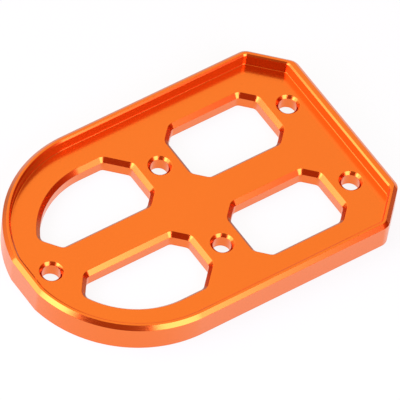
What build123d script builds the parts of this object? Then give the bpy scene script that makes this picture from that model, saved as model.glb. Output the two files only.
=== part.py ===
from build123d import *
import math
import os

# Platform plate of a wide motorcycle foot peg, milled from one piece of aluminium.
# Millimetres. X runs from the rounded nose to the square end, Y runs across the plate,
# and Z goes up from the flat underside. The origin is the centre of the plate's box, on the underside.

# Overall plate
plate_length = 89.5
plate_width = 60.0
plate_height = 7.5
floor_thickness = 4.1

# Outline: a full round nose with a short flat, and a square end with its corners cut at 45 degrees
nose_flat_depth = 0.4
end_corner_cut = 8.8
end_corner_radius = 3.0

# Raised rim that the boot stands on
rim_width = 1.9
end_rim_width = 2.45
rim_outer_chamfer = 0.92
rim_inner_chamfer = 0.4
pocket_corner_radius = 1.5
pocket_floor_fillet = 0.15

# Screw holes: one in the nose and two rows of two
bore_diameter = 4.4
bore_chamfer_width = 0.65
bore_chamfer_depth = 0.7
hole_inset = 7.5
hole_row_pitch = 36.0
hole_pair_pitch = 26.0

# Windows: a spine down the middle, a band along each side, and webs at the hole rows
spine_width = 8.0
side_band_width = 8.0
middle_web_half = 4.8
end_web_half = 4.5
window_corner_cut = 3.6
front_outer_corner_cut = 5.3
front_tip_reach = 16.0
front_tip_angle = 52.5
window_corner_radius = 1.5
window_chamfer_width = 0.95
window_chamfer_depth = 1.15

# Small edge break all round the underside
underside_break = 0.2

nose_radius = plate_width / 2
nose_centre_x = nose_radius - nose_flat_depth - plate_length / 2
end_x = plate_length / 2
end_row_x = end_x - hole_inset
middle_row_x = end_row_x - hole_row_pitch
nose_hole_x = hole_inset - plate_length / 2
window_inner_y = spine_width / 2
window_outer_y = plate_width / 2 - side_band_width


def plate_outline(inset, end_inset, corner_radius):
    """Face of the plate's outline, drawn in by inset, and by end_inset at the square end."""
    half_width = plate_width / 2 - inset
    arc_radius = nose_radius - inset
    flat_x = inset - plate_length / 2
    flat_half = math.sqrt(arc_radius**2 - (nose_centre_x - flat_x) ** 2)
    square_x = end_x - end_inset
    cut_sum = end_x + plate_width / 2 - end_corner_cut - inset * math.sqrt(2)
    end_points = [
        (nose_centre_x, half_width),
        (cut_sum - half_width, half_width),
        (square_x, cut_sum - square_x),
        (square_x, square_x - cut_sum),
        (cut_sum - half_width, -half_width),
        (nose_centre_x, -half_width),
    ]
    with BuildSketch() as sketch:
        with BuildLine():
            Polyline(*end_points)
            RadiusArc(end_points[-1], (flat_x, -flat_half), arc_radius)
            Line((flat_x, -flat_half), (flat_x, flat_half))
            RadiusArc((flat_x, flat_half), end_points[0], arc_radius)
        make_face()
        cut_corners = sketch.vertices().group_by(Axis.X)
        fillet(cut_corners[-1] + cut_corners[-2], corner_radius)
    return sketch.sketch


def clear_opening(mouth):
    """Through opening under a bevelled mouth: the mouth drawn in by the bevel, with rounded corners."""
    core = offset(mouth, amount=-(window_chamfer_width + window_corner_radius), kind=Kind.INTERSECTION)
    return offset(core, amount=window_corner_radius, kind=Kind.ARC)


def rear_window():
    """Oblong window between the two rows of holes, with its four corners cut."""
    low_x = middle_row_x + middle_web_half
    high_x = end_row_x - end_web_half
    low_y = window_inner_y
    high_y = window_outer_y
    cut = window_corner_cut
    mouth = Polygon(
        (low_x + cut, low_y),
        (high_x - cut, low_y),
        (high_x, low_y + cut),
        (high_x, high_y - cut),
        (high_x - cut, high_y),
        (low_x + cut, high_y),
        (low_x, high_y - cut),
        (low_x, low_y + cut),
        align=None,
    )
    return clear_opening(mouth)


def front_window():
    """D-shaped window beside the nose, whose outer edge follows the nose radius."""
    high_x = middle_row_x - middle_web_half
    tip_x = nose_centre_x - front_tip_reach
    tip_slant = (window_outer_y - window_inner_y) / math.tan(math.radians(front_tip_angle))
    straight_sides = Polygon(
        (tip_x, window_inner_y),
        (high_x - window_corner_cut, window_inner_y),
        (high_x, window_inner_y + window_corner_cut),
        (high_x, window_outer_y - front_outer_corner_cut),
        (high_x - front_outer_corner_cut, window_outer_y),
        (tip_x - tip_slant, window_outer_y),
        align=None,
    )
    round_nose = Pos(nose_centre_x, 0) * Circle(window_outer_y)
    straight_part = Pos(nose_centre_x, 0) * Rectangle(
        plate_length, 2 * window_outer_y, align=(Align.MIN, Align.CENTER)
    )
    return clear_opening(straight_sides & (round_nose + straight_part))


def hole_centres():
    """Centres of the screw holes, nose hole first."""
    half_pitch = hole_pair_pitch / 2
    rows = [(x, side * half_pitch) for x in (middle_row_x, end_row_x) for side in (1, -1)]
    return [(nose_hole_x, 0.0)] + rows


def face_at(solid, height):
    """The level face of the solid at this height."""
    return solid.faces().filter_by(Plane.XY).filter_by_position(Axis.Z, height - 0.001, height + 0.001)[0]


def bevel(lower, upper, base_height, height):
    """Solid that closes in or opens out from one outline to the next, as a bevel does."""
    return Pos(0, 0, base_height) * loft([lower.face(), Pos(0, 0, height) * upper.face()], ruled=True)


def blank():
    """Plate with its bevelled rim standing round the sunk floor."""
    outline = plate_outline(0, 0, end_corner_radius)
    top_outline = plate_outline(rim_outer_chamfer, rim_outer_chamfer, end_corner_radius - rim_outer_chamfer)
    wall_height = plate_height - rim_outer_chamfer
    pocket = plate_outline(rim_width, end_rim_width, pocket_corner_radius)
    mouth = plate_outline(
        rim_width - rim_inner_chamfer,
        end_rim_width - rim_inner_chamfer,
        pocket_corner_radius + rim_inner_chamfer,
    )
    body = extrude(outline, wall_height) + bevel(outline, top_outline, wall_height, rim_outer_chamfer)
    body -= Pos(0, 0, floor_thickness) * extrude(pocket, plate_height - floor_thickness)
    return body - bevel(pocket, mouth, plate_height - rim_inner_chamfer, rim_inner_chamfer)


def pierced(plate):
    """Plate with its four windows and its screw holes."""
    for window in (rear_window(), front_window()):
        cutter = extrude(window, floor_thickness)
        plate = plate - cutter - mirror(cutter, Plane.XZ)
    bore = Cylinder(bore_diameter / 2, floor_thickness, align=(Align.CENTER, Align.CENTER, Align.MIN))
    for x, y in hole_centres():
        plate = plate - Pos(x, y, 0) * bore
    return plate


def edges_broken(plate):
    """Plate with the bevels of its windows and holes, the pocket's fillet and the break underneath."""
    floor = face_at(plate, floor_thickness)
    window_edges = [e for wire in floor.inner_wires() if len(wire.edges()) > 1 for e in wire.edges()]
    plate = plate.chamfer(window_chamfer_width, window_chamfer_depth, window_edges, floor)
    floor = face_at(plate, floor_thickness)
    bore_edges = [wire.edge() for wire in floor.inner_wires() if len(wire.edges()) == 1]
    plate = plate.chamfer(bore_chamfer_width, bore_chamfer_depth, bore_edges, floor)
    floor = face_at(plate, floor_thickness)
    plate = plate.fillet(pocket_floor_fillet, floor.outer_wire().edges())
    return plate.chamfer(underside_break, None, face_at(plate, 0).edges())


def peg_platform():
    """The whole platform plate, one solid."""
    return edges_broken(pierced(blank()))


os.makedirs("parts", exist_ok=True)
export_step(peg_platform(), "parts/peg_platform.step")
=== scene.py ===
import math

import bpy
from mathutils import Matrix, Vector


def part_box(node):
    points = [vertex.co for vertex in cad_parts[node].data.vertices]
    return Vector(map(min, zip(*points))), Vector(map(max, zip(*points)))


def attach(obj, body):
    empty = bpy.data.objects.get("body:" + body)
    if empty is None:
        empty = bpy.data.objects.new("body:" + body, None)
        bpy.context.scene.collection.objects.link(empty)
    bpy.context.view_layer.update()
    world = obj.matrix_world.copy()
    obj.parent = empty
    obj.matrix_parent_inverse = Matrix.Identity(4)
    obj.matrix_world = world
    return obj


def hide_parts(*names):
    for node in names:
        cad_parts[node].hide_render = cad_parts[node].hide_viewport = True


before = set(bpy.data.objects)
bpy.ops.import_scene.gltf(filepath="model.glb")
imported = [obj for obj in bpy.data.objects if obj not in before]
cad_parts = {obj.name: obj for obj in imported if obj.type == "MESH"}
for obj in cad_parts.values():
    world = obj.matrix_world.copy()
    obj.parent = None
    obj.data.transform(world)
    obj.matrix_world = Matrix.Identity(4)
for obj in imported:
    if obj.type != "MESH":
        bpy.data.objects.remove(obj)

bl_info = {
    "name": "Foot Peg Platform Plate",
    "version": (1, 0, 0),
    "blender": (4, 5, 0),
    "location": "3D View > Sidebar > Foot Peg",
    "description": "Builds a milled and anodised foot peg platform plate, and the studio that it lies in",
    "category": "Add Mesh",
}

PLATE_NODE = "peg_platform"
LOW_CORNER, HIGH_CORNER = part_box(PLATE_NODE)
PLATE_SIZE = HIGH_CORNER - LOW_CORNER

OUTLINE_PASS, POCKET_PASS, WINDOW_PASS, BORE_PASS = range(4)

# Points of an outline this close are one, in metres
SAME_POINT = 1e-8
# A corner of an outline that turns less than this is a facet of a curve
REAL_CORNER = math.radians(20)
# Facets' worth of turn from one point of a small rounded corner to the next
CORNER_STEP = 3
# Points that an edge's rounding gets
ROUNDING_POINTS = 3
# Sides of a bore's circle
BORE_SIDES = 72
# Flat strip that a wall's section leaves at either end, for the level faces to meet, in metres
LIP = 0.0002
# A wall's open edge this close to a level face's height belongs to that face, in metres
LEVEL = 1e-6
# Points of the walls and the level faces this close are welded, in metres
WELD = 2e-7
# Weight of the large faces in the shading, so that they look flat up to their rounded edges
LARGE_FACES = 80

# Spots per metre of the dye's slight unevenness, and of the blasted grain
CLOUDS, GRAINS = 90.0, 9000.0
# Height of the blasted grain, in metres
GRAIN_HEIGHT = 0.00002
# How much the grain changes the metal's roughness, as a share of it
ROUGHNESS_SPREAD = 0.1
# Refractive index of the clear layer
LAYER_IOR = 1.38
# Slant at which the clear layer's gloss begins to fade, and slant at which it is gone
GLOSS_FADES = (0.65, 0.8)

# How far the ground lies below the plate, in metres, so that the two faces don't coincide
GROUND_DROP = 0.00002
# Share of the ground that glows where it is seen; the rest is lit paper, which takes the shadow
GROUND_GLOW = 0.88
# Painted shade: how bright the metal shows the ground, by how much at a slant it sees it; the dimming stands in for
# the plate's walls shading the ground
PAINTED_SHADE_AT_A_SLANT = ((0.25, 1.0), (0.42, 0.38), (0.62, 0.25), (0.8, 0.5), (0.9, 0.28))
# Painted light: where the metal shows the ground brighter, past the square end, and past the far side, where it
# fades a little farther off. Each is the place where a change begins and the one where it ends, in metres, and the
# levels at the two.
PAINTED_LIGHT_PAST_THE_END = (0.044, 0.05, 0.0, 0.85)
PAINTED_LIGHT_PAST_THE_SIDE = (0.028, 0.042, 0.0, 0.72)
PAINTED_LIGHT_FADES_FARTHER_OFF = (0.05, 0.08, 0.0, 0.3)

# The light cards: degrees round from +X and above the horizon, size in metres, and the share of the width
# over which a card dims to nothing at its right edge
LIGHT_CARDS = {
    "front_card": {"azimuth": -81.6, "elevation": 30, "width": 0.334, "height": 0.38, "fade": 0.25},
    "nose_card": {"azimuth": 168.3, "elevation": 25, "width": 0.25, "height": 0.2, "fade": 0.001},
    "nose_lamp": {"azimuth": 180.0, "elevation": 32, "width": 0.095, "height": 0.1, "fade": 0.001},
}

# Places of the sky: degrees round from +X and above the horizon, and the cosines of the angles off that place
# at which its light or tint begins and at which it is full
FAR_SKY = (100, 45, 0.5, 0.85)
HIGH_SKY = (0, 90, 0.55, 0.78)
NOSE_GLOW = (130, 55, 0.75, 0.97)
FRONT_GLOW = (-52, 38, 0.86, 0.98)

WHITE = (1, 1, 1, 1)


def length(name, description, default):
    """A size that a user can change, in metres."""
    return bpy.props.FloatProperty(
        name=name, description=description, default=default, min=0, precision=5, unit="LENGTH", subtype="DISTANCE"
    )


def share(name, description, default, high=1.0):
    """A plain number from nothing to high."""
    return bpy.props.FloatProperty(name=name, description=description, default=default, min=0, max=high)


def angle(name, description, degrees):
    """An angle that a user can change."""
    return bpy.props.FloatProperty(
        name=name, description=description, default=math.radians(degrees), unit="ROTATION", subtype="ANGLE"
    )


def colour(name, description, default):
    """A colour that a user can change."""
    return bpy.props.FloatVectorProperty(
        name=name, description=description, default=default, size=3, min=0, max=1, subtype="COLOR"
    )


class PlateSizes(bpy.types.PropertyGroup):
    plate_length: length("Plate length", "From the nose flat to the square end", PLATE_SIZE.x)
    plate_width: length("Plate width", "Across the plate; the nose is half of it in radius", PLATE_SIZE.y)
    plate_height: length("Plate height", "From the underside to the top of the rim", PLATE_SIZE.z)
    floor_thickness: length("Floor thickness", "Thickness of the sunk floor", 0.0041)
    nose_flat_depth: length("Nose flat depth", "How much the nose flat takes off the round nose", 0.0004)
    end_corner_cut: length("End corner cut", "Size of the cut corners at the square end", 0.0088)
    end_corner_radius: length("End corner radius", "Rounding beside the cut corners", 0.003)
    rim_width: length("Rim width", "Thickness of the raised rim", 0.0019)
    end_rim_width: length("End rim width", "Thickness of the rim across the square end", 0.00245)
    rim_outer_bevel: length("Rim outer bevel", "Bevel round the outside of the rim", 0.00092)
    rim_inner_bevel: length("Rim inner bevel", "Bevel round the inside of the rim", 0.0004)
    pocket_corner_radius: length("Pocket corner radius", "Rounding of the pocket's corners", 0.0015)
    pocket_floor_fillet: length("Pocket floor fillet", "Rounding where the rim meets the floor", 0.00015)
    window_inner: length("Window inner edge", "From the centre line to the windows", 0.004)
    window_outer: length("Window outer edge", "From the centre line to the windows' far side", 0.022)
    window_corner_cut: length("Window corner cut", "Cut corners of the windows", 0.0036)
    front_outer_corner_cut: length("Front outer corner cut", "Outer cut corner of the front windows", 0.0053)
    front_tip_reach: length("Front tip reach", "From the nose's centre to the front windows' tip", 0.016)
    front_tip_angle: angle("Front tip angle", "Slant of the front windows' tip", 52.5)
    window_corner_radius: length("Window corner radius", "Rounding of the windows' corners", 0.0015)
    window_bevel_width: length("Window bevel width", "Width of the windows' bevels", 0.00095)
    window_bevel_depth: length("Window bevel depth", "Depth of the windows' bevels", 0.00115)
    middle_web_half: length("Middle web half width", "From the middle row of holes to the windows", 0.0048)
    end_web_half: length("End web half width", "From the end row of holes to the rear windows", 0.0045)
    bore_diameter: length("Bore diameter", "Bore of the screw holes", 0.0044)
    bore_bevel_width: length("Bore bevel width", "Width of the bevel round a screw hole", 0.00065)
    bore_bevel_depth: length("Bore bevel depth", "Depth of the bevel round a screw hole", 0.0007)
    hole_inset: length("Hole inset", "From either end to the nearest screw hole", 0.0075)
    hole_row_pitch: length("Hole row pitch", "Between the two rows of screw holes", 0.036)
    hole_pair_pitch: length("Hole pair pitch", "Between the two screw holes of a row", 0.026)
    underside_break: length("Underside break", "Small edge break round the underside", 0.0002)
    edge_rounding: length("Edge rounding", "Radius that tumbling leaves on every milled edge", 0.00008)
    facet: angle("Facet", "Turn of a curved edge from one facet to the next", 2.5)


class AnodisedFinish(bpy.types.PropertyGroup):
    dye: colour("Dye", "Colour of the anodised layer", (0.97, 0.178, 0.0015))
    dye_deep: colour("Deep dye", "Colour where the layer is a little thicker", (0.955, 0.168, 0.001))
    roughness: share("Roughness", "Roughness of the blasted and anodised surface", 0.2)
    layer: share("Layer", "Strength of the clear sealed layer", 1.0)
    grain: share("Grain", "Depth of the fine blasted grain", 0.04)


class StudioSetup(bpy.types.PropertyGroup):
    ground: colour("Ground", "Colour of the ground", (0.86, 0.86, 0.86))
    ground_reach: length("Ground reach", "Half the size of the ground", 3.0)
    front_distance: length("Front distance", "From the plate to the card at the near side", 0.5)
    nose_distance: length("Nose distance", "From the plate to the lights at the nose", 0.28)
    front_card: share("Front card", "Brightness of the card at the near side", 7.0, 20.0)
    nose_card: share("Nose card", "Brightness of the card at the nose", 4.3, 20.0)
    nose_lamp: share("Nose lamp", "Brightness of the small lamp in front of the nose card", 4.6, 20.0)
    card_tint: colour("Card tint", "Colour of the light cards", (0.62, 0.6, 1.0))
    sky_tint: colour("Sky tint", "Colour of the sky beyond the plate", (1.0, 1.0, 0.8))
    sky_top: share("Sky top", "Brightness beyond the plate", 1.01, 20.0)
    sky_low: share("Sky low", "Brightness behind the camera", 0.4, 20.0)
    nose_glow: share("Nose glow", "Brightness added high beyond the plate's nose", 0.85, 20.0)
    front_glow: share("Front glow", "Brightness added above the near side", 0.38, 20.0)
    room_tint: colour("Room tint", "Colour of the dim room behind the camera", (0.86, 0.17, 0.05))
    camera_azimuth: angle("Camera azimuth", "Way that the camera looks, from +Y towards -X", -40.194)
    camera_elevation: angle("Camera elevation", "Height of the camera above the horizon", 52.193)
    camera_roll: angle("Camera roll", "Turn of the camera about its own axis", -8.015)
    camera_distance: length("Camera distance", "From the nose's centre to the camera, along the view", 1.748993)
    camera_shift_right: length("Camera right", "How far the camera stands to the right", 0.014458)
    camera_shift_up: length("Camera up", "How far the camera stands upwards", 0.011966)
    camera_lens: bpy.props.FloatProperty(
        name="Lens", description="Focal length on a 36 mm sensor", default=684.1, unit="CAMERA"
    )


def direction(degrees):
    """Unit vector on the plate's plane, this far round from +X."""
    return Vector((math.cos(math.radians(degrees)), math.sin(math.radians(degrees))))


def cut_back(points, normal, limit):
    """A convex outline, less what reaches past limit along normal."""
    kept = []
    for here, after in zip(points, points[1:] + points[:1]):
        inside_here, inside_after = limit - normal.dot(here), limit - normal.dot(after)
        if inside_here >= 0:
            kept.append(here)
        if inside_here * inside_after < 0:
            kept.append(here.lerp(after, inside_here / (inside_here - inside_after)))
    return [p for p, q in zip(kept, kept[1:] + kept[:1]) if (p - q).length > SAME_POINT]


def cut_corner(points, corner, side, cut):
    """A convex outline with one corner cut at 45 degrees; side is the way that the corner points."""
    normal = Vector(side).normalized()
    return cut_back(points, normal, normal.dot(Vector(corner)) - cut / math.sqrt(2))


def outward_normals(points):
    """For each side of a counterclockwise outline, the unit vector out of it."""
    sides = [after - here for here, after in zip(points, points[1:] + points[:1])]
    return [Vector((side.y, -side.x)).normalized() for side in sides]


def drawn_in(points, amount):
    """A convex outline drawn in by amount, its corners still sharp."""
    shape = points
    for start, normal in zip(points, outward_normals(points)):
        shape = cut_back(shape, normal, normal.dot(start) - amount)
    return shape


def rounded(points, radius, facet):
    """A convex outline with its real corners rounded. The shallow ones of a curve stay as they are."""
    core = drawn_in(points, radius)
    normals = outward_normals(core)
    path = []
    for place, before, after in zip(core, normals[-1:] + normals[:-1], normals):
        turn = before.angle(after)
        steps = math.ceil(turn / facet / CORNER_STEP) if turn > REAL_CORNER else 0
        if not steps:
            middle = (before + after).normalized()
            path.append(place + middle * radius / middle.dot(before))
        for step in range(steps + 1 if steps else 0):
            path.append(place + Matrix.Rotation(turn * step / steps, 2) @ before * radius)
    return path


def nose_tangents(points, centre_x, radius, facet, half_turns):
    """A convex outline cut to the round nose by short straight passes, a facet apart."""
    passes = round(math.pi / facet)
    for step in range(1, passes * half_turns // 2 + 1):
        normal = direction(90 + 180 * step / passes)
        points = cut_back(points, normal, normal.x * centre_x + radius)
    return points


def nose_centre(sizes):
    """Place of the round nose's centre along the plate."""
    return sizes.plate_width / 2 - sizes.nose_flat_depth - sizes.plate_length / 2


def hole_rows(sizes):
    """Places along the plate of the nose hole, the middle row and the end row."""
    end_row = sizes.plate_length / 2 - sizes.hole_inset
    return -end_row, end_row - sizes.hole_row_pitch, end_row


def box_outline(low_x, high_x, low_y, high_y):
    """Counterclockwise rectangle."""
    return [Vector(p) for p in ((low_x, low_y), (high_x, low_y), (high_x, high_y), (low_x, high_y))]


def plate_outline(sizes, inset, end_inset, corner_radius):
    """The plate's outline drawn in by inset, and by end_inset at the square end."""
    half_length, half_width = sizes.plate_length / 2, sizes.plate_width / 2
    shape = box_outline(inset - half_length, half_length - end_inset, inset - half_width, half_width - inset)
    for side in (1, -1):
        corner = Vector((half_length, side * half_width)) - Vector((1, side)) * inset / math.sqrt(2)
        shape = cut_corner(shape, corner, (1, side), sizes.end_corner_cut)
    shape = nose_tangents(shape, nose_centre(sizes), half_width - inset, sizes.facet, 2)
    return rounded(shape, corner_radius, sizes.facet)


def rear_mouth(sizes):
    """Mouth of the rear window at +Y: an oblong with its four corners cut."""
    middle_row, end_row = hole_rows(sizes)[1:]
    low_x, high_x = middle_row + sizes.middle_web_half, end_row - sizes.end_web_half
    shape = corners = box_outline(low_x, high_x, sizes.window_inner, sizes.window_outer)
    for corner, side in zip(corners, ((-1, -1), (1, -1), (1, 1), (-1, 1))):
        shape = cut_corner(shape, corner, side, sizes.window_corner_cut)
    return shape


def front_mouth(sizes):
    """Mouth of the front window at +Y: its outer edge follows the nose, and its tip is slanted."""
    nose_x, slant = nose_centre(sizes), sizes.front_tip_angle
    high_x = hole_rows(sizes)[1] - sizes.middle_web_half
    low_y, high_y = sizes.window_inner, sizes.window_outer
    tip = Vector((nose_x - sizes.front_tip_reach, low_y))
    shape = box_outline(nose_x - high_y, high_x, low_y, high_y)
    shape = cut_corner(shape, (high_x, low_y), (1, -1), sizes.window_corner_cut)
    shape = cut_corner(shape, (high_x, high_y), (1, 1), sizes.front_outer_corner_cut)
    tip_normal = Vector((-math.sin(slant), -math.cos(slant)))
    shape = cut_back(shape, tip_normal, tip_normal.dot(tip))
    return nose_tangents(shape, nose_x, high_y, sizes.facet, 1)


def window_paths(sizes):
    """Walls of the four windows, those at -Y mirrored from those at +Y."""
    paths = []
    for mouth in (rear_mouth(sizes), front_mouth(sizes)):
        wall = rounded(drawn_in(mouth, sizes.window_bevel_width), sizes.window_corner_radius, sizes.facet)
        paths += [wall, [Vector((p.x, -p.y)) for p in reversed(wall)]]
    return paths


def milling_plan(sizes):
    """Mesh of the cutter's paths: an edge loop for each wall and a point for each bore, marked by the pass."""
    pocket = plate_outline(sizes, sizes.rim_width, sizes.end_rim_width, sizes.pocket_corner_radius)
    loops = [(OUTLINE_PASS, plate_outline(sizes, 0, 0, sizes.end_corner_radius)), (POCKET_PASS, pocket)]
    loops += [(WINDOW_PASS, path) for path in window_paths(sizes)]
    nose_row, middle_row, end_row = hole_rows(sizes)
    half_pair = sizes.hole_pair_pitch / 2
    bores = [(nose_row, 0)] + [(x, side * half_pair) for x in (middle_row, end_row) for side in (1, -1)]
    points, edges, passes = [], [], []
    for kind, path in loops:
        first, count = len(points), len(path)
        points += [(p.x, p.y, 0) for p in path]
        edges += [(first + i, first + (i + 1) % count) for i in range(count)]
        passes += [kind] * count
    points += [(x, y, 0) for x, y in bores]
    passes += [BORE_PASS] * len(bores)
    plan = bpy.data.meshes.new("milling_plan")
    plan.from_pydata(points, edges, [])
    plan.attributes.new("milling_pass", "INT", "POINT").data.foreach_set("value", passes)
    return plan


class Wiring:
    """Adds nodes to a tree and wires them up."""

    def __init__(self, tree):
        self.tree = tree

    def node(self, kind, inputs=None, **settings):
        """A new node. An input is a wire from another node or a plain value."""
        node = self.tree.nodes.new(kind)
        for name, value in settings.items():
            setattr(node, name, value)
        for key, value in (inputs or {}).items():
            self.feed(node.inputs[key], value)
        return node

    def feed(self, socket, value):
        """Wires a value up to a socket, or sets it there."""
        if isinstance(value, bpy.types.NodeSocket):
            self.tree.links.new(value, socket)
        else:
            socket.default_value = value

    def join(self, kind, socket, parts):
        """A node whose one socket takes several wires."""
        node = self.tree.nodes.new(kind)
        for part in parts:
            self.tree.links.new(part, node.inputs[socket])
        return node

    def sum(self, a, b):
        return self.node("ShaderNodeMath", {0: a, 1: b}, operation="ADD").outputs[0]

    def less(self, a, b):
        return self.node("ShaderNodeMath", {0: a, 1: b}, operation="SUBTRACT").outputs[0]

    def times(self, a, b):
        return self.node("ShaderNodeMath", {0: a, 1: b}, operation="MULTIPLY").outputs[0]

    def most(self, a, b):
        return self.node("ShaderNodeMath", {0: a, 1: b}, operation="MAXIMUM").outputs[0]

    def range(self, value, low, high, at_low, at_high, **settings):
        """Value that runs from at_low to at_high while the given one runs from low to high."""
        limits = {"Value": value, "From Min": low, "From Max": high, "To Min": at_low, "To Max": at_high}
        return self.node("ShaderNodeMapRange", limits, **settings).outputs[0]

    def ramp(self, value, stops):
        """Value that runs straight from stop to stop. A stop is a place and the level there."""
        ramp = self.node("ShaderNodeValToRGB", {0: value})
        elements = ramp.color_ramp.elements
        while len(elements) < len(stops):
            elements.new(1.0)
        for element, (place, level) in zip(elements, stops):
            element.position = place
            element.color = (level, level, level, 1)
        return ramp.outputs["Color"]

    def blend(self, share_of_second, first, second):
        """Colour between two plain ones."""
        inputs = {0: share_of_second, 6: (*first, 1), 7: (*second, 1)}
        return self.node("ShaderNodeMix", inputs, data_type="RGBA").outputs[2]


def milled_section(wiring, corners):
    """Profile curve of a wall. Each corner is its distance out from the path, its height and its rounding."""
    index = wiring.node("GeometryNodeInputIndex").outputs[0]
    places = wiring.node("GeometryNodeIndexSwitch", data_type="VECTOR")
    radii = wiring.node("GeometryNodeIndexSwitch", data_type="FLOAT")
    for switch in (places, radii):
        while len(switch.index_switch_items) < len(corners):
            switch.index_switch_items.new()
        wiring.feed(switch.inputs[0], index)
    for number, (out, height, radius) in enumerate(corners, 1):
        wiring.feed(places.inputs[number], wiring.node("ShaderNodeCombineXYZ", {0: out, 1: height}).outputs[0])
        wiring.feed(radii.inputs[number], radius)
    line = wiring.node("GeometryNodeMeshLine", {"Count": len(corners)})
    bent = wiring.node("GeometryNodeSetPosition", {"Geometry": line.outputs[0], "Position": places.outputs[0]})
    curve = wiring.node("GeometryNodeMeshToCurve", {"Mesh": bent.outputs[0]})
    rounding = {"Curve": curve.outputs[0], "Count": ROUNDING_POINTS, "Radius": radii.outputs[0]}
    round_off = wiring.node("GeometryNodeFilletCurve", rounding, mode="POLY")
    # A sweep along a level path turns a section's Y downwards, so the section is turned over first
    turned = wiring.node("GeometryNodeTransform", {"Geometry": round_off.outputs[0], "Scale": (1, -1, 1)})
    return turned.outputs[0]


def swept(wiring, path, section):
    """The wall that a section leaves along a path, standing upright."""
    upright = wiring.node("GeometryNodeSetCurveNormal", {"Curve": path}, mode="Z_UP")
    wall = wiring.node("GeometryNodeCurveToMesh", {"Curve": upright.outputs[0], "Profile Curve": section})
    return wall.outputs[0]


def level_face(wiring, walls, height, facing_up):
    """The flat face that closes the walls' open edges at this height."""
    z = wiring.node("ShaderNodeSeparateXYZ", {0: wiring.node("GeometryNodeInputPosition").outputs[0]}).outputs[2]
    at_height = wiring.node("ShaderNodeMath", {0: z, 1: height, 2: LEVEL}, operation="COMPARE").outputs[0]
    beside = wiring.node("GeometryNodeInputMeshEdgeNeighbors").outputs[0]
    is_open = wiring.node("FunctionNodeCompare", {2: beside, 3: 1}, data_type="INT", operation="EQUAL").outputs[0]
    chosen = wiring.node("FunctionNodeBooleanMath", {0: at_height, 1: is_open}, operation="AND").outputs[0]
    rings = wiring.node("GeometryNodeMeshToCurve", {"Mesh": walls, "Selection": chosen}).outputs[0]
    face = wiring.node("GeometryNodeFillCurve", {"Curve": rings}, mode="NGONS").outputs[0]
    if not facing_up:
        face = wiring.node("GeometryNodeFlipFaces", {"Mesh": face}).outputs[0]
    lift = wiring.node("ShaderNodeCombineXYZ", {2: height}).outputs[0]
    return wiring.node("GeometryNodeTransform", {"Geometry": face, "Translation": lift}).outputs[0]


# The milling tree's inputs, and the sizes that feed them
MILLING_INPUTS = {
    "Plate Height": "plate_height",
    "Floor Thickness": "floor_thickness",
    "Rim Outer Bevel": "rim_outer_bevel",
    "Rim Inner Bevel": "rim_inner_bevel",
    "Pocket Floor Fillet": "pocket_floor_fillet",
    "Window Bevel Width": "window_bevel_width",
    "Window Bevel Depth": "window_bevel_depth",
    "Bore Diameter": "bore_diameter",
    "Bore Bevel Width": "bore_bevel_width",
    "Bore Bevel Depth": "bore_bevel_depth",
    "Underside Break": "underside_break",
    "Edge Rounding": "edge_rounding",
}


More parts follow.
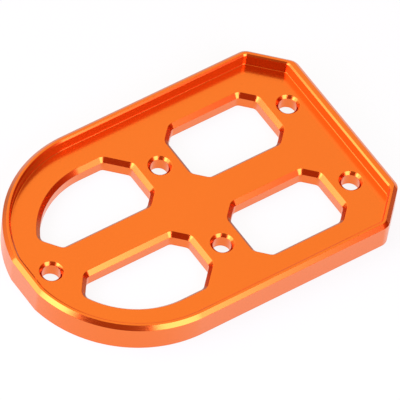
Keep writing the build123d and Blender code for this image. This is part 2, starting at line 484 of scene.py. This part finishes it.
def milling_tree():
    """Geometry nodes that mill the plate: a section is swept along each path, and level faces close it."""
    tree = bpy.data.node_groups.new("milled_plate", "GeometryNodeTree")
    tree.interface.new_socket("Milling Plan", in_out="INPUT", socket_type="NodeSocketGeometry")
    for name in MILLING_INPUTS:
        tree.interface.new_socket(name, in_out="INPUT", socket_type="NodeSocketFloat").subtype = "DISTANCE"
    tree.interface.new_socket("Finish", in_out="INPUT", socket_type="NodeSocketMaterial")
    tree.interface.new_socket("Plate", in_out="OUTPUT", socket_type="NodeSocketGeometry")
    wiring = Wiring(tree)
    given = wiring.node("NodeGroupInput").outputs
    top, floor, edge = given["Plate Height"], given["Floor Thickness"], given["Edge Rounding"]
    outer, inner, foot = given["Rim Outer Bevel"], given["Rim Inner Bevel"], given["Pocket Floor Fillet"]
    under = given["Underside Break"]
    mark = wiring.node("GeometryNodeInputNamedAttribute", {"Name": "milling_pass"}, data_type="INT").outputs[0]

    def part_of_plan(kind):
        chosen = wiring.node("FunctionNodeCompare", {2: mark, 3: kind}, data_type="INT", operation="EQUAL")
        plan = {"Geometry": given["Milling Plan"], "Selection": chosen.outputs[0]}
        return wiring.node("GeometryNodeSeparateGeometry", plan, domain="POINT").outputs[0]

    def path_of(kind):
        return wiring.node("GeometryNodeMeshToCurve", {"Mesh": part_of_plan(kind)}).outputs[0]

    def opening_section(width, depth):
        return milled_section(
            wiring,
            [
                (wiring.sum(width, LIP), floor, 0.0),
                (width, floor, edge),
                (0.0, wiring.less(floor, depth), edge),
                (0.0, under, edge),
                (under, 0.0, edge),
                (wiring.sum(under, LIP), 0.0, 0.0),
            ],
        )

    outline_section = milled_section(
        wiring,
        [
            (wiring.less(-LIP, under), 0.0, 0.0),
            (wiring.less(0.0, under), 0.0, edge),
            (0.0, under, edge),
            (0.0, wiring.less(top, outer), edge),
            (wiring.less(0.0, outer), top, edge),
            (wiring.less(-LIP, outer), top, 0.0),
        ],
    )
    pocket_section = milled_section(
        wiring,
        [
            (wiring.sum(inner, LIP), top, 0.0),
            (inner, top, edge),
            (0.0, wiring.less(top, inner), edge),
            (0.0, floor, foot),
            (wiring.less(-LIP, foot), floor, 0.0),
        ],
    )
    window_section = opening_section(given["Window Bevel Width"], given["Window Bevel Depth"])
    bore_section = opening_section(given["Bore Bevel Width"], given["Bore Bevel Depth"])
    bore_radius = wiring.times(given["Bore Diameter"], 0.5)
    bore_circle = wiring.node("GeometryNodeCurvePrimitiveCircle", {"Resolution": BORE_SIDES, "Radius": bore_radius})
    bore = swept(wiring, bore_circle.outputs[0], bore_section)
    bores = wiring.node("GeometryNodeInstanceOnPoints", {"Points": part_of_plan(BORE_PASS), "Instance": bore})
    walls = wiring.join(
        "GeometryNodeJoinGeometry",
        "Geometry",
        [
            swept(wiring, path_of(OUTLINE_PASS), outline_section),
            swept(wiring, path_of(POCKET_PASS), pocket_section),
            swept(wiring, path_of(WINDOW_PASS), window_section),
            wiring.node("GeometryNodeRealizeInstances", {"Geometry": bores.outputs[0]}).outputs[0],
        ],
    )
    walls = wiring.node("GeometryNodeFlipFaces", {"Mesh": walls.outputs[0]}).outputs[0]
    closed = wiring.join(
        "GeometryNodeJoinGeometry",
        "Geometry",
        [
            walls,
            level_face(wiring, walls, top, True),
            level_face(wiring, walls, floor, True),
            level_face(wiring, walls, 0.0, False),
        ],
    )
    welded = wiring.node("GeometryNodeMergeByDistance", {"Geometry": closed.outputs[0], "Distance": WELD})
    whole = wiring.node("GeometryNodeRealizeInstances", {"Geometry": welded.outputs[0]})
    smooth = wiring.node("GeometryNodeSetShadeSmooth", {"Geometry": whole.outputs[0]})
    coated = wiring.node("GeometryNodeSetMaterial", {"Geometry": smooth.outputs[0], "Material": given["Finish"]})
    wiring.node("NodeGroupOutput", {0: coated.outputs[0]})
    return tree


def anodised_material(finish):
    """Orange anodised aluminium: a metal tinted by its dye under a thin clear layer, with a fine blasted grain."""
    material = bpy.data.materials.new("orange_anodised_aluminium")
    material.use_nodes = True
    tree = material.node_tree
    tree.nodes.clear()
    wiring = Wiring(tree)
    place = wiring.node("ShaderNodeTexCoord").outputs["Object"]
    cloud = wiring.node("ShaderNodeTexNoise", {"Vector": place, "Scale": CLOUDS, "Detail": 3.0}).outputs[0]
    grain = wiring.node("ShaderNodeTexNoise", {"Vector": place, "Scale": GRAINS, "Detail": 2.0}).outputs[0]
    spread = finish.roughness * ROUGHNESS_SPREAD
    bump = wiring.node("ShaderNodeBump", {"Strength": finish.grain, "Distance": GRAIN_HEIGHT, "Height": grain})
    slant = wiring.node("ShaderNodeLayerWeight", {"Blend": 0.5}).outputs["Facing"]
    metal = wiring.node(
        "ShaderNodeBsdfPrincipled",
        {
            "Base Color": wiring.blend(cloud, finish.dye, finish.dye_deep),
            "Metallic": 1.0,
            "Roughness": wiring.range(grain, 0.0, 1.0, finish.roughness - spread, finish.roughness + spread),
            "Normal": bump.outputs[0],
            "Coat Weight": wiring.range(slant, *GLOSS_FADES, finish.layer, 0.0),
            "Coat Roughness": finish.roughness,
            "Coat IOR": LAYER_IOR,
        },
    )
    wiring.node("ShaderNodeOutputMaterial", {"Surface": metal.outputs[0]})
    return material


class FOOTPEG_OT_plate(bpy.types.Operator):
    """Mills the platform plate from its sizes and gives it its anodised finish"""

    bl_idname = "footpeg.plate"
    bl_label = "Platform Plate"

    def execute(self, context):
        sizes = context.scene.footpeg_sizes
        blank = bpy.data.objects.new("plate_blank", milling_plan(sizes))
        context.collection.objects.link(blank)
        milling = blank.modifiers.new("milling", "NODES")
        milling.node_group = milling_tree()
        sockets = {item.name: item.identifier for item in milling.node_group.interface.items_tree}
        for name, size in MILLING_INPUTS.items():
            milling[sockets[name]] = getattr(sizes, size)
        finish = anodised_material(context.scene.footpeg_finish)
        milling[sockets["Finish"]] = finish
        evenness = blank.modifiers.new("flat_faces_stay_flat", "WEIGHTED_NORMAL")
        evenness.weight = LARGE_FACES
        context.view_layer.update()
        mesh = bpy.data.meshes.new_from_object(blank.evaluated_get(context.evaluated_depsgraph_get()))
        bpy.data.objects.remove(blank)
        if not mesh.polygons:
            raise RuntimeError("the plate has no faces")
        mesh.materials.clear()
        mesh.materials.append(finish)
        mesh.polygons.foreach_set("material_index", [0] * len(mesh.polygons))
        plate = bpy.data.objects.new("milled_platform_plate", mesh)
        context.collection.objects.link(plate)
        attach(plate, "root")
        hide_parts(PLATE_NODE)
        return {"FINISHED"}


def aim(azimuth, elevation):
    """Unit vector towards a place in the sky, in degrees round from +X and above the horizon."""
    flat = direction(azimuth) * math.cos(math.radians(elevation))
    return Vector((flat.x, flat.y, math.sin(math.radians(elevation))))


def light_card(context, studio, name, distance, brightness):
    """A rectangular lamp that faces the plate. Brightness is what a mirror would show of it."""
    card_plan = LIGHT_CARDS[name]
    width, height = card_plan["width"], card_plan["height"]
    lamp = bpy.data.lights.new(name, "AREA")
    lamp.shape = "RECTANGLE"
    lamp.size, lamp.size_y = width, height
    lamp.energy = brightness * math.pi * width * height
    lamp.color = studio.card_tint
    lamp.use_nodes = True
    lamp.node_tree.nodes.clear()
    wiring = Wiring(lamp.node_tree)
    across = wiring.node("ShaderNodeSeparateXYZ", {0: wiring.node("ShaderNodeTexCoord").outputs["UV"]}).outputs[0]
    dimmed = wiring.range(wiring.less(1.0, across), 0.0, card_plan["fade"], 0.0, 1.0)
    glow = wiring.node("ShaderNodeEmission", {"Color": WHITE, "Strength": dimmed})
    wiring.node("ShaderNodeOutputLight", {"Surface": glow.outputs[0]})
    card = bpy.data.objects.new(name, lamp)
    way = aim(card_plan["azimuth"], card_plan["elevation"])
    card.location = way * distance
    card.rotation_euler = way.to_track_quat("Z", "Y").to_euler()
    card.visible_camera = False
    context.collection.objects.link(card)


def studio_sky(context, studio):
    """World: white behind the plate. As light it is bright beyond the plate and dim and warm behind the camera."""
    world = bpy.data.worlds.new("studio_sky")
    world.use_nodes = True
    world.node_tree.nodes.clear()
    wiring = Wiring(world.node_tree)
    way = wiring.node("ShaderNodeTexCoord").outputs["Generated"]

    def near_place(azimuth, elevation, begins, full, level):
        to_place = {0: way, 1: aim(azimuth, elevation)}
        dot = wiring.node("ShaderNodeVectorMath", to_place, operation="DOT_PRODUCT").outputs["Value"]
        return wiring.range(dot, begins, full, 0.0, level, interpolation_type="SMOOTHSTEP")

    far_side = near_place(*FAR_SKY, 1.0)
    level = wiring.range(far_side, 0.0, 1.0, studio.sky_low, studio.sky_top)
    glows = wiring.sum(near_place(*NOSE_GLOW, studio.nose_glow), near_place(*FRONT_GLOW, studio.front_glow))
    tint = wiring.blend(wiring.most(far_side, near_place(*HIGH_SKY, 1.0)), studio.room_tint, studio.sky_tint)
    sky = wiring.node("ShaderNodeBackground", {"Color": tint, "Strength": wiring.sum(level, glows)})
    backdrop = wiring.node("ShaderNodeBackground", {"Color": WHITE, "Strength": 1.0})
    seen = wiring.node("ShaderNodeLightPath").outputs["Is Camera Ray"]
    mix = wiring.node("ShaderNodeMixShader", {0: seen, 1: sky.outputs[0], 2: backdrop.outputs[0]})
    wiring.node("ShaderNodeOutputWorld", {"Surface": mix.outputs[0]})
    context.scene.world = world


def ground_material(studio):
    """Pale ground that looks white and still takes the plate's shadow.

    The metal shows it with painted shade at a slant, in place of the windows' walls shading it, and with painted
    light past the plate.
    """
    material = bpy.data.materials.new("pale_ground")
    material.use_nodes = True
    tree = material.node_tree
    tree.nodes.clear()
    wiring = Wiring(tree)
    paper = wiring.node("ShaderNodeBsdfDiffuse", {"Color": (*studio.ground, 1)})
    slant = wiring.node("ShaderNodeLayerWeight", {"Blend": 0.5}).outputs["Facing"]
    # Painted shade: the metal's reflections of the ground dim at a slant, standing in for the shade of the windows'
    # walls
    painted_shade_by_slant = wiring.ramp(slant, PAINTED_SHADE_AT_A_SLANT)
    point = wiring.node("ShaderNodeTexCoord").outputs["Object"]
    place = wiring.node("ShaderNodeSeparateXYZ", {0: point}).outputs
    # Painted light: the metal's reflections of the ground brighten past the square end and past the far side
    painted_light_past_end = wiring.range(place["X"], *PAINTED_LIGHT_PAST_THE_END)
    painted_light_past_side = wiring.less(wiring.range(place["Y"], *PAINTED_LIGHT_PAST_THE_SIDE), wiring.range(place["Y"], *PAINTED_LIGHT_FADES_FARTHER_OFF))
    path = wiring.node("ShaderNodeLightPath").outputs
    # Camera rays see plain white; the metal sees the painted shade and painted light
    white_and_painted_shine = wiring.most(wiring.most(painted_light_past_end, painted_light_past_side), wiring.most(painted_shade_by_slant, path["Is Camera Ray"]))
    glow = wiring.node("ShaderNodeEmission", {"Color": WHITE, "Strength": white_and_painted_shine})
    seen = wiring.sum(path["Is Camera Ray"], wiring.sum(path["Is Glossy Ray"], path["Is Transmission Ray"]))
    glowing = wiring.times(seen, GROUND_GLOW)
    mix = wiring.node("ShaderNodeMixShader", {0: glowing, 1: paper.outputs[0], 2: glow.outputs[0]})
    wiring.node("ShaderNodeOutputMaterial", {"Surface": mix.outputs[0]})
    return material


def photo_camera(context, studio):
    """Camera that looks at the plate as the photograph does."""
    turn, rise, roll = studio.camera_azimuth, studio.camera_elevation, studio.camera_roll
    level_right = Vector((math.cos(turn), math.sin(turn), 0))
    back = Vector((math.sin(turn) * math.cos(rise), -math.cos(turn) * math.cos(rise), math.sin(rise)))
    level_up = back.cross(level_right)
    place = level_right * studio.camera_shift_right + level_up * studio.camera_shift_up
    place += back * studio.camera_distance
    place += Vector((nose_centre(context.scene.footpeg_sizes), 0, context.scene.footpeg_sizes.underside_break))
    right = level_right * math.cos(roll) - level_up * math.sin(roll)
    up = level_right * math.sin(roll) + level_up * math.cos(roll)
    camera = bpy.data.objects.new("photo_camera", bpy.data.cameras.new("photo_camera"))
    camera.data.lens = studio.camera_lens
    camera.data.clip_end = 20
    camera.matrix_world = Matrix.Translation(place) @ Matrix((right, up, back)).transposed().to_4x4()
    context.collection.objects.link(camera)
    context.scene.camera = camera


class FOOTPEG_OT_studio(bpy.types.Operator):
    """Lays out the pale ground, the light cards and the camera"""

    bl_idname = "footpeg.studio"
    bl_label = "Studio"

    def execute(self, context):
        studio = context.scene.footpeg_studio
        reach = studio.ground_reach
        corners = [(x * reach, y * reach, -GROUND_DROP) for x, y in ((-1, -1), (1, -1), (1, 1), (-1, 1))]
        mesh = bpy.data.meshes.new("ground")
        mesh.from_pydata(corners, [], [(0, 1, 2, 3)])
        mesh.materials.append(ground_material(studio))
        ground = bpy.data.objects.new("ground", mesh)
        context.collection.objects.link(ground)
        light_card(context, studio, "front_card", studio.front_distance, studio.front_card)
        light_card(context, studio, "nose_card", studio.nose_distance, studio.nose_card)
        light_card(context, studio, "nose_lamp", studio.nose_distance, studio.nose_lamp)
        studio_sky(context, studio)
        photo_camera(context, studio)
        context.scene.view_settings.view_transform = "Standard"
        return {"FINISHED"}


class FOOTPEG_PT_panel(bpy.types.Panel):
    """Sidebar panel with the plate's sizes, finish and studio"""

    bl_idname = "FOOTPEG_PT_panel"
    bl_label = "Foot Peg Platform"
    bl_space_type = "VIEW_3D"
    bl_region_type = "UI"
    bl_category = "Foot Peg"

    def draw(self, context):
        for operator, group in (
            (FOOTPEG_OT_plate, context.scene.footpeg_sizes),
            (None, context.scene.footpeg_finish),
            (FOOTPEG_OT_studio, context.scene.footpeg_studio),
        ):
            box = self.layout.box()
            for name in group.__annotations__:
                box.prop(group, name)
            if operator:
                box.operator(operator.bl_idname)


CLASSES = (PlateSizes, AnodisedFinish, StudioSetup, FOOTPEG_OT_plate, FOOTPEG_OT_studio, FOOTPEG_PT_panel)


def register():
    """Adds the operators, the panel and the settings to Blender."""
    for cls in CLASSES:
        bpy.utils.register_class(cls)
    bpy.types.Scene.footpeg_sizes = bpy.props.PointerProperty(type=PlateSizes)
    bpy.types.Scene.footpeg_finish = bpy.props.PointerProperty(type=AnodisedFinish)
    bpy.types.Scene.footpeg_studio = bpy.props.PointerProperty(type=StudioSetup)


def unregister():
    """Takes them out again."""
    del bpy.types.Scene.footpeg_studio
    del bpy.types.Scene.footpeg_finish
    del bpy.types.Scene.footpeg_sizes
    for cls in reversed(CLASSES):
        bpy.utils.unregister_class(cls)


def main():
    """Builds the plate and the studio."""
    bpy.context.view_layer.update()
    register()
    bpy.ops.footpeg.plate()
    bpy.ops.footpeg.studio()


if __name__ == "__main__":
    main()
